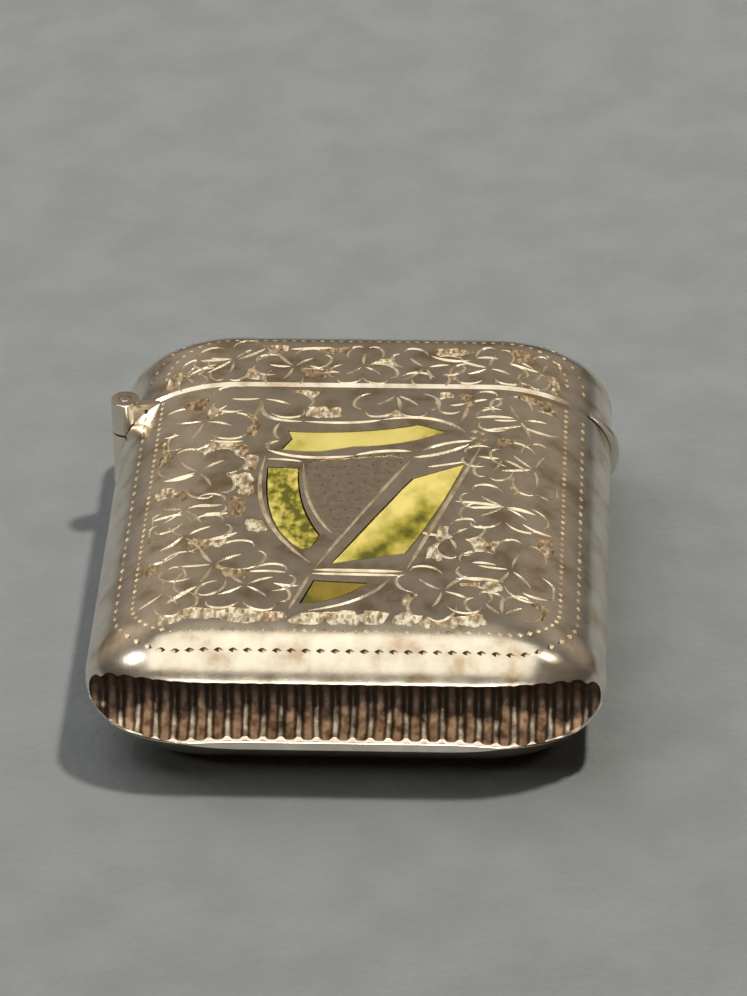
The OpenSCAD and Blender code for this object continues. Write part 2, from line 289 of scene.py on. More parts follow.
def crown(s, w):
    return math.sqrt(max(0, 1 - (s ** corner_power + w ** corner_power) ** (2 / corner_power)))


def rise(x, y):
    s = max(0, (abs(x) - flat_x) / side_round)
    w = max(0, (front_flat_y - y) / nose_round, (y - back_flat_y) / tail_round)
    return mid_z * crown(s, w)


def take(piece):
    deselect()
    piece.select_set(True)
    bpy.context.view_layer.objects.active = piece


def edit(piece, action="SELECT"):
    take(piece)
    bpy.ops.object.mode_set(mode="EDIT")
    bpy.ops.mesh.select_mode(type="VERT")
    bpy.ops.mesh.select_all(action=action)


def done():
    bpy.ops.object.mode_set(mode="OBJECT")


def face_outward():
    bpy.ops.mesh.select_all(action="SELECT")
    bpy.ops.mesh.normals_make_consistent(inside=False)
    done()


def pick_edges(piece, test):
    edit(piece, "DESELECT")
    bpy.ops.mesh.select_mode(type="EDGE")
    done()
    points = piece.data.vertices
    for edge in piece.data.edges:
        edge.select = test(*(points[k].co for k in edge.vertices))
    bpy.ops.object.mode_set(mode="EDIT")


def soften(width, segments=3):
    bpy.ops.mesh.bevel(offset=width, segments=segments, affect="EDGES")
    done()


def modify(piece, kind, **settings):
    bpy.context.view_layer.objects.active = piece
    bpy.ops.object.modifier_add(type=kind)
    modifier = piece.modifiers[-1]
    for name, value in settings.items():
        setattr(modifier, name, value)
    bpy.ops.object.modifier_apply(modifier=modifier.name)


# The faces that a tool cuts take the tool's finish
def carve(piece, tools, operation="DIFFERENCE"):
    rack = bpy.data.collections.new("tools")
    bpy.context.scene.collection.children.link(rack)
    for tool in tools:
        rack.objects.link(tool)
    modify(piece, "BOOLEAN", operation=operation, solver="MANIFOLD", operand_type="COLLECTION",
           collection=rack, material_mode="TRANSFER")
    for tool in tools:
        bpy.data.objects.remove(tool)
    bpy.data.collections.remove(rack)


def grid(columns, rows):
    deselect()
    bpy.ops.mesh.primitive_grid_add(x_subdivisions=columns, y_subdivisions=rows, size=2)
    return bpy.context.object


def rod(sides, radius, length, middle, turn=(0, 0, 0)):
    deselect()
    bpy.ops.mesh.primitive_cylinder_add(vertices=sides, radius=radius, depth=length, location=middle,
                                        rotation=turn)
    bpy.ops.object.transform_apply()
    return bpy.context.object


def half_sheet(edge_y, flat_y, end_y, end_angle, upper):
    side_steps = 44
    flat_steps = 24
    straight_steps = round(abs(flat_y - edge_y) / row_pitch)
    end_steps = 36
    flat_share = flat_steps / (2 * side_steps + flat_steps)
    straight_share = straight_steps / (straight_steps + end_steps)
    sheet = grid(2 * side_steps + flat_steps, straight_steps + end_steps)
    for vertex in sheet.data.vertices:
        u = abs(vertex.co.x)
        v = (vertex.co.y + 1) / 2
        turn = end_angle * max(0, v - straight_share) / (1 - straight_share)
        w = math.sin(turn)
        y = flat_y + w * (end_y - flat_y) if turn else edge_y + (flat_y - edge_y) * v / straight_share
        s = max(reach(w), least_share) * math.sin(math.pi / 2 * max(0, u - flat_share) / (1 - flat_share))
        x = flat_x * min(1, u / flat_share) + side_round * s
        z = mid_z * crown(s, w)
        vertex.co = (math.copysign(x, vertex.co.x), y, mid_z + z if upper else mid_z - z)
    edit(sheet)
    if upper != (end_y > edge_y):
        bpy.ops.mesh.flip_normals()
    done()
    return sheet


def half_shell(edge_y, flat_y, end_y, end_angle, upper, chamfer, finish):
    shell = coat(half_sheet(edge_y, flat_y, end_y, end_angle, upper), finish, gilt)
    modify(shell, "SOLIDIFY", thickness=wall, offset=-1, use_even_offset=True, material_offset=1)

    def on_rim(p):
        return abs(p.y - edge_y) < on_edge and abs(abs(p.z - mid_z) - rise(p.x, p.y)) < on_skin

    pick_edges(shell, lambda a, b: on_rim(a) and on_rim(b))
    soften(chamfer, 1)
    return shell


def groove_bar():
    bar = rod(groove_sides, plate_r, 4 * half_w, (0, bottom_y, mid_z), (0, math.pi / 2, 0))
    edit(bar)
    bpy.ops.mesh.bisect(plane_co=(0, bottom_y, mid_z), plane_no=(0, 1, 0), use_fill=True, clear_inner=True)
    bpy.ops.mesh.select_mode(type="FACE")
    bpy.ops.mesh.select_all(action="DESELECT")
    done()
    for face in bar.data.polygons:
        face.select = abs(face.center.y - bottom_y) < on_edge and abs(face.normal.y) > 0.9
    bpy.ops.object.mode_set(mode="EDIT")
    bpy.ops.mesh.extrude_region_move(TRANSFORM_OT_translate={"value": (0, -2 * groove_h, 0)})
    face_outward()
    return coat(bar, worn_silver)


# Four-sided bars along lines of points, each point with its own radius
def sweep(lines, material, tilt=0):
    data = bpy.data.curves.new("sweep", "CURVE")
    data.dimensions = "3D"
    data.bevel_depth = 1
    data.bevel_resolution = 0
    data.use_fill_caps = True
    data.twist_mode = "Z_UP"
    for points in lines:
        line = data.splines.new("POLY")
        line.points.add(len(points) - 1)
        for mark, (x, y, z, radius) in zip(line.points, points):
            mark.co = (x, y, z, 1)
            mark.radius = radius
            mark.tilt = tilt
    tool = bpy.data.objects.new("sweep", data)
    bpy.context.scene.collection.objects.link(tool)
    take(tool)
    bpy.ops.object.convert(target="MESH")
    tool = bpy.context.object
    tool.data.materials.clear()
    coat(tool, material)
    edit(tool)
    bpy.ops.mesh.remove_doubles(threshold=weld)
    bpy.ops.mesh.normals_make_consistent(inside=False)
    bpy.ops.mesh.separate(type="LOOSE")
    done()
    return list(bpy.context.selected_objects)


def filed_lip():
    steps = 80
    span = (1 - (plate_r / mid_z) ** 2) ** (corner_power / 2)
    reach_x = half_w - 3 * wall
    slope = []
    upright = []
    for k in range(steps + 1):
        x = reach_x * (2 * k / steps - 1)
        s = max(0, (abs(x) - flat_x) / side_round)
        fade = math.sin(math.pi / 2 * min(1, (reach_x - abs(x)) / filed_fade)) ** 2
        lip_y = front_flat_y - nose_round * max(0, span - s ** corner_power) ** (1 / corner_power)
        face_y = lip_y + filed_back * fade - filed_half * (1 - fade)
        slope.append((x, face_y - slope_ahead, mid_z - plate_r + slope_up, filed_half))
        upright.append((x, face_y - filed_half, mid_z - plate_r - upright_down, filed_half * math.sqrt(2)))
    return sweep([slope], worn_silver) + sweep([upright], worn_silver, math.pi / 4 - filed_lean)


def hinge_bar(radius, height, middle_z):
    return coat(rod(barrel_sides, radius, height, (axis_x, joint_y, middle_z)), worn_silver)


def hinge_relief():
    return hinge_bar(barrel_d / 2 + hinge_clear, barrel_l + 2 * hinge_clear, mid_z)


def settle(piece, name, body, slot, *nodes, angle=30):
    take(piece)
    piece.scale = (mm, mm, mm)
    bpy.ops.object.transform_apply()
    bpy.ops.object.shade_smooth_by_angle(angle=math.radians(angle))
    piece.name = name
    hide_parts(*nodes)
    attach(piece, body)


def silver(name, size_mm, stops):
    return surface(name, 1, ((size_mm, 7), stops), ((1.5, 8), [(0.3, 0.17), (0.75, 0.25)]),
                   ((0.25, 4, (1, 0.12, 1)), 0.003))


worn_silver = silver("worn_silver", 4, [(0.35, silver_dark), (0.65, silver_light)])
gilt = surface("gilt_silver", 1, ((3, 5), [(0.35, gilt_dark), (0.65, gilt_light)]),
               ((0.6, 5), [(0.3, 0.3), (0.7, 0.45)]), ((0.2, 3), 0.006))

body_back = half_shell(body_end_y, front_flat_y, nose_y, nose_angle, False, body_chamfer, worn_silver)
carve(body_back, [groove_bar(), hinge_relief()] + filed_lip())
settle(body_back, "body_back", "body", "silver", "body_back_shell")

# The striker is a strip of thicker silver, rolled to a trough with flutes across it and soldered into the
# end of the case, its lips filed thin. Matches have browned it and worn the lower crests bright. Its upper
# part is painted shade cast by the upper lip, mixed with soot, and the lower crests also carry a painted
# highlight.
flute_pitch = 1.3
flute_h = 0.34
flute_steps = 14
trough_steps = 40
mouth_half = 2.72
upper_flute = 0.03
lower_flute = 0.25
lip_set_back = 0.03
rib_wander = 0.2
# Heights off the middle where the lit lower part gives way to painted shade from the upper lip with soot, and
# how unevenly
soot_and_shade_low = -2.45
soot_and_shade_high = -1.25
soot_and_shade_wander = 1.8
# The next two colours are painted shade cast by the upper lip, mixed with soot
soot_and_shadow_dark = (0.03, 0.015, 0.008, 1)
patina_shade = (0.065, 0.035, 0.02, 1)
# Darker brown on the flanks beside each crest
flank_brown = (0.2, 0.11, 0.06, 1)
patina_tan = (0.66, 0.43, 0.26, 1)
patina_stain = (0.45, 0.36, 0.34, 1)
# Worn silver on the lower crests, with a painted highlight on top
worn_crest_highlight = (1, 0.92, 0.72, 1)

open_y = nose_y - plate_r
flutes = math.ceil(2 * (half_w + wall) / flute_pitch)
striker_rows = 2 * trough_steps + 2


# The striker's section: flutes inside, which nearly die out at the upper lip, and a plain back
def trough_point(step, inside, swell):
    turn = math.pi * max(0, min(1, (step - 1) / (trough_steps - 2)))
    at_lip = upper_flute + (lower_flute - upper_flute) * turn / math.pi
    flute = flute_h * swell * (at_lip + (1 - at_lip) * math.sin(turn))
    if inside:
        y = lips_y + (groove_d - flute) * math.sin(turn)
        z = (mouth_half - flute) * math.cos(turn)
    else:
        y = bottom_y + plate_r * math.sin(turn)
        z = plate_r * math.cos(turn)
    return (open_y if step in (0, trough_steps) else y), z


def close_up(piece):
    edit(piece)
    bpy.ops.mesh.remove_doubles(threshold=weld)
    bpy.ops.mesh.fill_holes(sides=0)
    face_outward()


def nose_solid(set_back=0):
    top = half_sheet(body_end_y, front_flat_y, nose_y + set_back, nose_angle, True)
    bottom = half_sheet(body_end_y, front_flat_y, nose_y + set_back, nose_angle, False)
    take(top)
    bottom.select_set(True)
    bpy.ops.object.join()
    close_up(top)
    return coat(top, worn_silver)


def mix(tree, blend, first, second):
    node = tree.nodes.new("ShaderNodeMix")
    node.data_type = "RGBA"
    node.blend_type = blend
    node.inputs["Factor"].default_value = 1
    tree.links.new(first, node.inputs[6])
    tree.links.new(second, node.inputs[7])
    return node


striker = grid(flute_steps * flutes, striker_rows)
for vertex in striker.data.vertices:
    x = vertex.co.x * flutes * flute_pitch / 2
    swell = (0.5 - 0.5 * math.cos(2 * math.pi * x / flute_pitch)) ** 2
    row = round((vertex.co.y + 1) / 2 * striker_rows) % striker_rows
    inside = row <= trough_steps
    y, z = trough_point(row if inside else striker_rows - 1 - row, inside, swell)
    vertex.co = (x, y, mid_z + z)
close_up(striker)

striker_patina_and_shade = surface("striker_patina_and_shade", 0.4, None, ((0.5, 5), [(0.3, 0.35), (0.7, 0.6)]),
                         ((0.15, 4), 0.02))
tree = striker_patina_and_shade.node_tree
half_flute = flute_pitch / 2 * mm
place_x, _, place_z = directions(tree, "Object")
rib_shift = spread(tree, grain(tree, 2.4), 0, 1, -rib_wander * mm, rib_wander * mm)
soot_and_shade_shift = spread(tree, grain(tree, 1.3, 4), 0, 1, -soot_and_shade_wander * mm, soot_and_shade_wander * mm)
from_valley = combine(tree, "PINGPONG", combine(tree, "ADD", place_x, rib_shift), half_flute)
to_crest = spread(tree, from_valley, 0, half_flute)
# Below: tan valleys, darker brown flanks, and crests worn bright with a painted highlight
rubbed_and_lit = ramp(tree, to_crest, [(0.3, patina_tan), (0.5, flank_brown), (0.7, flank_brown),
                               (0.86, worn_crest_highlight)])
# Above: painted shade cast by the upper lip, mixed with soot, darkest on the crests
sooted_and_shaded = ramp(tree, to_crest, [(0.15, patina_shade), (0.45, soot_and_shadow_dark), (1, soot_and_shadow_dark)])
stained = ramp(tree, grain(tree, 0.7, 6), [(0.36, patina_stain), (0.56, 1)])
# The painted shade above and the lit part below are mixed by height with an uneven edge, then darkened by
# stains
soot_and_shade_line = mix(tree, "MIX", rubbed_and_lit, sooted_and_shaded)
tree.links.new(spread(tree, combine(tree, "ADD", place_z, soot_and_shade_shift), (mid_z + soot_and_shade_low) * mm,
                      (mid_z + soot_and_shade_high) * mm), soot_and_shade_line.inputs["Factor"])
tint(striker_patina_and_shade, mix(tree, "MULTIPLY", soot_and_shade_line.outputs[2], stained).outputs[2])
coat(striker, striker_patina_and_shade)
carve(striker, [nose_solid(lip_set_back)], "INTERSECT")
carve(striker, filed_lip())
settle(striker, "striker", "body", "striker_silver", "striker_plate", angle=45)

# The face of the body is the upper stamping, engraved by hand: the ground between the shamrocks is cut
# down and hatched, the leaves and the harp stand plain, and bright cuts draw their veins and edges.
ground_depth = 0.1
ground_past = 0.5
joint_past = 0.3
hatch_pitch = 0.4
hatch_h = 0.1
hatch_uneven = 0.4
edge_slope = 0.12
island_half = 0.4
window_half = 1.5
patch_half = 3
patch_uneven = (0.75, 1.25)
patch_square = 0.7
tone_stray = (-1, 0, 0, 1)
field_x = 15.1
field_front_y = -19.7
field_back_y = 11.75
field_corner = 3.6
leaf_spread = 57
leaf_narrow = 1.56
leaf_full = 0.45
leaf_notch = 0.14
leaf_notch_spread = 9
outline_cut = 0.13
vein_cut = 0.13
vein_start = 0.25
vein_share = 0.58
vein_bend = (10, 0.35)
stem_cut = 0.16
stem_start = 0.3
stem_bend = (14, 1.2)
stem_end = (4, 2.6)
harp_taper = 0.25
least_taper = 0.1
bead_line = 0.45
bead_r = 0.2
bead_half_l = 0.3
bead_pitch = 0.74
notch_line = 1.75
notch_pitch = 1.05
notch_half_l = 0.42
notch_half_w = 0.2
strings = 7
string_r = 0.12
string_gap = (1.05, 0.15)
string_step = (0.27, -1.15)
string_start = (-3.3, 1.9)
string_end = (3.5, 2)
string_end_lean = 0.435
string_sink = 0.04
harp_set = 0.55
harp_x = 0.6
harp_y = front_flat_y + harp_set
ground_brown = (0.16, 0.1, 0.055, 1)
ground_rust = (0.32, 0.21, 0.115, 1)
ground_gold = (0.38, 0.27, 0.15, 1)
ground_tan = (0.62, 0.47, 0.29, 1)
# The pale matting colour is partly a painted glint of the hatching
pale_and_glint = (1, 0.92, 0.72, 1)
cut_light = (1, 0.9, 0.7, 1)
cut_dark = (0.66, 0.53, 0.36, 1)
tarnish_and_shade_colour = (0.1, 0.07, 0.045, 1)
silver_brown = (0.58, 0.46, 0.33, 1)
string_light = (0.86, 0.78, 0.67, 1)
string_dark = (0.68, 0.6, 0.5, 1)

# Each shamrock: its middle, the headings of its leaves in degrees, their length, and the heading of its stem
body_shamrocks = [
    (-12, 7.4, (165, 250, 338), 4.1, 48),
    (-7.7, 10.5, (182, 338), 4.1, 255),
    (2.6, 11.2, (222, 318), 3.8, 272),
    (8.1, 10.2, (195, 20), 2.6, 255),
    (12.1, 8.1, (112, 188, 12), 3.5, 285),
    (13.3, 1.6, (70, 137, 275), 3.9, 195),
    (10.9, 2.4, (172, 248), 3.2, 320),
    (-11.9, 0.2, (38, 128, 298), 4, 183),
    (-12.6, -4.7, (8, 155, 222), 3.3, 300),
    (11.2, -4.2, (143, 217, 322), 3.7, 180),
    (-12.3, -8.5, (30, 128, 215), 3.7, 300),
    (-9.9, -12.5, (35, 178, 250), 4.2, 112),
    (11.9, -12.4, (75, 174, 308), 4.2, 238),
    (-7.4, -15.1, (28, 215, 318), 3.9, 125),
    (7, -15.5, (140, 252, 330), 3.9, 45),
    (-13.2, -15.6, (95, 300), 3.4, 210),
    (11.4, -18.4, (42, 132), 3.3, 85),
    (7.2, -8.4, (40, 290), 3, 160),
]

# Each patch of ground: its middle, half its size both ways, and its tone from brown to pale; the pale tone is
# partly painted glint
body_patches = [
    (-10.6, 3.4, 1.3, 1, 2), (-9.2, 3, 0.8, 0.9, 1), (-8.6, -1, 0.9, 0.9, 2), (-8.1, -2.4, 0.7, 0.8, 1),
    (-14.3, -2, 0.8, 0.9, 1), (-13.2, -3.1, 0.8, 0.9, 0), (-8.7, -4.9, 0.7, 1.4, 0),
    (-7.1, -7.3, 0.8, 0.9, 2), (-11.2, -9.6, 0.9, 0.9, 1), (-9.8, -9.2, 0.7, 1, 2),
    (-8.9, -13.1, 0.8, 0.9, 1), (-7.8, -13.5, 0.6, 0.8, 0), (-14.5, -12, 0.6, 1.2, 0),
    (-14.3, -14, 0.5, 0.9, 1), (-5.2, -16.6, 1, 1, 0), (-12.6, -19, 1, 0.5, 2), (-10.3, -18.7, 1.5, 0.7, 2),
    (-7.4, -18.8, 1.7, 0.8, 2), (-5.2, -19, 0.9, 0.5, 1), (-2.6, -19.1, 1.3, 0.6, 2),
    (-0.2, -19, 1.3, 0.7, 2), (2.1, -19, 1.1, 0.7, 2), (4.6, -19, 1, 0.7, 2), (6.8, -19.3, 1.4, 0.5, 2),
    (9.2, -19.1, 1.2, 0.6, 2),
    (9.3, -9.4, 0.9, 1, 2), (10.8, -9.6, 0.8, 0.8, 1), (6.9, -8.2, 0.7, 1.1, 2), (6.3, -10.4, 0.7, 1.1, 2),
    (9, -15.1, 0.9, 0.8, 1), (10.6, -14.8, 0.8, 0.8, 2), (12.4, -1.1, 1, 1.2, 0), (13.9, -0.8, 0.7, 1, 1),
    (8.2, 10.5, 0.9, 0.9, 1), (9.6, 10.4, 0.7, 0.9, 2), (12.4, 11.2, 0.8, 0.6, 1), (13.9, 11.1, 0.7, 0.5, 0),
    (-4.6, 11.2, 1.1, 0.5, 1), (-3.5, 8.7, 0.8, 0.8, 2), (-2.2, 8.5, 0.7, 0.8, 2), (2.4, 8.7, 1.2, 0.6, 2),
    (-11.2, 8.4, 0.7, 0.8, 1), (-10.2, 8.2, 0.6, 0.7, 2), (-12.7, 9.9, 1, 0.8, 0), (-14.7, 5, 0.4, 0.9, 1),
    (-14.6, 3.2, 0.5, 0.8, 0), (-8.3, 6.6, 0.6, 1.4, 0), (8.3, 1.6, 0.7, 1.2, 1), (14.4, -8.4, 0.6, 1.2, 1),
    (14.3, 9.8, 0.8, 0.9, 0), (-7.9, 1.3, 0.6, 1, 1), (-14.7, -7, 0.4, 1.2, 0), (4.7, -16.8, 0.7, 0.8, 1),
    (13.6, -17.1, 1, 0.9, 0), (11.2, 4.6, 0.8, 0.7, 0), (6.4, 11.3, 0.6, 0.4, 2), (-6.6, 3.9, 0.5, 0.6, 2),
]

# Broad single cuts: their ends, the point they lean to, and half their width
body_accents = [
    ((-14.5, 0), (-13.3, -0.5), (-12.2, -0.1), 0.24),
    ((-13.1, -17.2), (-12, -16.2), (-10.9, -15.3), 0.24),
    ((-13.8, -10), (-13, -9.2), (-12.4, -8.4), 0.2),
    ((8.7, 8.1), (10.2, 8.4), (11.6, 8.3), 0.17),
    ((9.5, 6.4), (11, 6.6), (12.2, 7.4), 0.15),
    ((12.3, 7.3), (13.3, 6.7), (14.5, 7), 0.17),
    ((7.5, -3.6), (9.4, -3.8), (11.2, -4.2), 0.18),
    ((11.4, -4.2), (12.4, -4.2), (13.5, -4.5), 0.22),
    ((7.9, -13.9), (9.6, -13.8), (11.4, -14.1), 0.18),
    ((9, -11.8), (9.8, -11.7), (10.8, -12), 0.14),
    ((-7.4, -13.4), (-6, -13.1), (-4.5, -13.4), 0.14),
    ((-5.3, -14.8), (-4.4, -15.2), (-3.5, -15.1), 0.14),
    ((-15, -5.2), (-14, -5.3), (-13.2, -5.2), 0.16),
    ((-12, -4.4), (-10.9, -4.7), (-9.8, -4.5), 0.16),
    ((-11, -5.6), (-10, -5.8), (-9.2, -5.6), 0.18),
    ((-11.4, 4.6), (-10, 4), (-8.8, 4.4), 0.14),
    ((-10.6, -9.2), (-9.4, -9), (-8.4, -8.2), 0.2),
    ((12.6, -6.1), (13.6, -7), (14.8, -6.7), 0.17),
    ((12.8, -15.1), (13.6, -15.6), (14.6, -15.2), 0.16),
]
shoulder_beads = [(8.6, 5.2, 0), (9.3, 5.9, 0), (9.4, 5, 0), (8.7, 6.1, 0), (9, 4.4, 0)]


def bow(start, lean, end, steps=8):
    pairs = []
    for k in range(steps + 1):
        t = k / steps
        pairs.append(tuple((1 - t) ** 2 * a + 2 * t * (1 - t) * c + t * t * b
                           for a, c, b in zip(start, lean, end)))
    return pairs


def heading(x, y, degrees, distance):
    turn = math.radians(degrees)
    return x + distance * math.cos(turn), y + distance * math.sin(turn)


def drawn_in(points, width):
    moved = []
    for k, (x, y) in enumerate(points):
        before, after = Vector(points[k - 1]), Vector(points[(k + 1) % len(points)])
        along = (after - before).normalized()
        moved.append((x - along.y * width, y + along.x * width))
    return moved


def prism(count, place):
    deselect()
    bpy.ops.mesh.primitive_cylinder_add(vertices=count, radius=1, depth=2)
    block = bpy.context.object
    for vertex in block.data.vertices:
        k = round(math.atan2(vertex.co.y, vertex.co.x) / (2 * math.pi) * count) % count
        vertex.co = place(k, vertex.co.z)
    return block


def island(points, material, depth=island_half, slope=edge_slope):
    upper = drawn_in(points, slope / 2)
    lower = drawn_in(points, -slope / 2)

    def place(k, side):
        x, y = upper[k] if side > 0 else lower[k]
        return x, y, mid_z + rise(*points[k]) + depth * side

    return coat(prism(len(points), place), material)


def leaf(x, y, degrees, length):
    steps = 26
    points = []
    for k in range(steps + 1):
        turn = leaf_spread * (2 * k / steps - 1)
        notch = 1 - leaf_notch * math.exp(-(turn / leaf_notch_spread) ** 2)
        distance = length * math.cos(math.radians(leaf_narrow * turn)) ** leaf_full * notch
        points.append(heading(x, y, degrees + turn, distance))
    return points


def rounded_field(half_x, low_y, high_y, low_r, high_r):
    points = []
    steps = 10
    for x_side, y, radius, first in ((1, low_y, low_r, 270), (1, high_y, high_r, 0),
                                     (-1, high_y, high_r, 90), (-1, low_y, low_r, 180)):
        middle_y = y + radius if y == low_y else y - radius
        for k in range(steps + 1 if radius else 1):
            points.append(heading(x_side * (half_x - radius), middle_y, first + 90 * k / steps, radius))
    return points


hand = random.Random(4)


def squared(value):
    return math.copysign(abs(value) ** patch_square, value)


def patch(x, y, half_x, half_y):
    steps = 13
    points = []
    for k in range(steps):
        turn = 2 * math.pi * k / steps
        uneven = hand.uniform(*patch_uneven)
        points.append((x + half_x * uneven * squared(math.cos(turn)),
                       y + half_y * uneven * squared(math.sin(turn))))
    return points


# The cutter for the ground: an uneven ridged sheet, kept to the patches and off the plain islands
def ground_tool(low_y, high_y, patches, islands):
    reach_x = field_x + ground_past
    columns = 2 * round(2 * reach_x / hatch_pitch)
    tool = grid(columns, round((high_y - low_y) / hatch_pitch))
    for vertex in tool.data.vertices:
        x = reach_x * vertex.co.x
        y = low_y + (high_y - low_y) * (vertex.co.y + 1) / 2
        ridge = (round((vertex.co.x + 1) / 2 * columns) % 2) * hand.uniform(0, 1)
        ridge += hand.uniform(-hatch_uneven, hatch_uneven)
        vertex.co = (x, y, mid_z + rise(x, y) - ground_depth + hatch_h * ridge)
    edit(tool)
    bpy.ops.mesh.extrude_region_move(TRANSFORM_OT_translate={"value": (0, 0, 1)})
    face_outward()
    coat(tool, *ground_tones)
    for face in tool.data.polygons:
        tone = min(patches, key=lambda p: math.hypot((face.center.x - p[0]) / p[2],
                                                     (face.center.y - p[1]) / p[3]))[4]
        face.material_index = max(0, min(len(ground_tones) - 1, tone + hand.choice(tone_stray)))
    blocks = [island(patch(x, y, half_x, half_y), bright_cut, patch_half, 0)
              for x, y, half_x, half_y, tone in patches]
    carve(blocks[0], blocks[1:], "UNION")
    carve(tool, blocks[:1], "INTERSECT")
    carve(tool, islands)
    return tool


def stroke_tools(strokes, taper=0.6):
    lines = []
    for points, half_width in strokes:
        points = [(x, y) for x, y in points if abs(x) < field_x and y > field_front_y]
        last = len(points) - 1
        if last < 3:
            continue
        lines.append([(x, y, mid_z + rise(x, y),
                       half_width * max(least_taper, math.sin(math.pi * k / last) ** taper))
                      for k, (x, y) in enumerate(points)])
    return sweep(lines, bright_cut)


# Places at an even pitch along a line, each with the line's heading there
def spaced(points, pitch):
    places = []
    left = 0
    for (x0, y0), (x1, y1) in zip(points, points[1:]):
        length = math.hypot(x1 - x0, y1 - y0)
        while left < length:
            share = left / length
            turn = math.atan2(y1 - y0, x1 - x0) % math.pi
            places.append((x0 + share * (x1 - x0), y0 + share * (y1 - y0), turn))
            left += pitch
        left -= length
    return places


def punch_tool(places, half_l, half_wide, *finishes):
    deselect()
    bpy.ops.mesh.primitive_uv_sphere_add(segments=4, ring_count=2, radius=1)
    first = coat(bpy.context.object, *finishes)
    # Faces turned to -x take the first finish and the rest the last; for the notches this paints the side
    # away from the key lamp dark as painted shade
    for face in first.data.polygons:
        face.material_index = 0 if face.normal.x < 0 else len(finishes) - 1
    punches = []
    for x, y, turn in places:
        punch = first.copy()
        punch.data = first.data.copy()
        punch.location = (x, y, mid_z + rise(x, y))
        punch.rotation_euler = (0, 0, turn)
        punch.scale = (half_l, half_wide, half_wide)
        bpy.context.scene.collection.objects.link(punch)
        punches.append(punch)
    bpy.data.objects.remove(first)
    take(punches[0])
    for punch in punches:
        punch.select_set(True)
    bpy.ops.object.join()
    bpy.ops.object.transform_apply()
    return bpy.context.object


def leaf_islands(shamrocks):
    return [island(leaf(x, y, turn, length), bright_cut)
            for x, y, headings, length, stem in shamrocks for turn in headings]


def shamrock_strokes(shamrocks):
    strokes = []
    for x, y, headings, length, stem in shamrocks:
        for turn in headings:
            tip = heading(x, y, turn, vein_share * length)
            lean = heading(x, y, turn + vein_bend[0], vein_bend[1] * length)
            strokes.append((bow(heading(x, y, turn, vein_start), lean, tip), vein_cut))
            outline = leaf(x, y, turn, length)
            middle = len(outline) // 2
            strokes.append((outline[2:middle], outline_cut))
            strokes.append((outline[middle + 1:-2], outline_cut))
        lean = heading(x, y, stem + stem_bend[0], stem_bend[1])
        tip = heading(x, y, stem + stem_end[0], stem_end[1])
        strokes.append((bow(heading(x, y, stem, stem_start), lean, tip), stem_cut))
    return strokes


def bowed(cuts):
    return [(bow(start, lean, end), half_width) for start, lean, end, half_width in cuts]


# Matted ground with a fine mottle from dark to light; in the pale ground the light flecks are painted glints
def hatched(name, dark, light):
    return surface(name, 0.6, ((0.5, 5, (1, 0.6, 1)), [(0.38, dark), (0.58, light)]),
                   ((0.4, 4), [(0.3, 0.2), (0.7, 0.4)]), ((0.3, 3), 0.06))


def body_border(line, pitch):
    points = rounded_field(field_x + line, field_front_y - line, field_back_y, field_corner + line, 0)
    half_way = len(points) // 2
    return spaced(points[half_way:] + points[:half_way], pitch)


face_silver = silver("engraved_silver", 2.2,
                     [(0.34, silver_brown), (0.46, silver_dark), (0.62, silver_light)])
string_silver = silver("matted_silver", 0.6, [(0.35, string_dark), (0.65, string_light)])
ground_tones = [hatched("brown_ground", ground_brown, ground_gold),
                hatched("tan_ground", ground_rust, ground_tan),
                hatched("pale_glinting_ground", ground_gold, pale_and_glint)]
bright_cut = surface("bright_cut", 0.85, ((1.2, 4), [(0.35, cut_dark), (0.6, cut_light)]),
                     ((0.3, 3), [(0.3, 0.2), (0.7, 0.36)]), ((0.1, 2, (1, 0.3, 1)), 0.01))
# Dark finish: all over the string dots, and painted shade on the side of each notch away from the key lamp
tarnish_and_shade = surface("tarnish_and_shade", 0.5, ((0.5, 3), [(0.4, tarnish_and_shade_colour), (0.7, ground_brown)]), 0.5)

# The stones' outlines, drawn about the foot of the harp
neck_line = (bow((-6.1, 23.3), (-0.4, 23), (3.8, 24.5)) + bow((6, 23.5), (3, 21.3), (-1, 21.15))
             + bow((-3.3, 20.45), (-5, 20.25), (-6.5, 20.7), 4) + [(-5.8, 22.2)])
pillar_line = (bow((-7.35, 18.25), (-7.5, 9.8), (-4.2, 7.05)) + bow((-3.45, 7.3), (-3, 8.1), (-2.9, 9.05), 2)
               + bow((-3.5, 10.4), (-4.85, 13.8), (-4.95, 18.15), 6))
soundboard_line = bow((4.4, 18.5), (1.1, 12), (-1.9, 5.2)) + bow((2.8, 4.9), (6, 12.2), (7.5, 19.05))
foot_line = [(-3.9, 0), (-3.05, 3.05)] + bow((0.95, 2.8), (-0.4, 0.8), (-2.8, 0.05), 6)


def on_face(line):
    points = [(harp_x + x, harp_y + y) for x, y in line]
    area = sum(x0 * y1 - x1 * y0 for (x0, y0), (x1, y1) in zip(points, points[1:] + points[:1]))
    return points if area > 0 else points[::-1]


stone_lines = {"neck_stone": on_face(neck_line), "pillar_stone": on_face(pillar_line),
               "soundboard_stone": on_face(soundboard_line), "foot_stone": on_face(foot_line)}

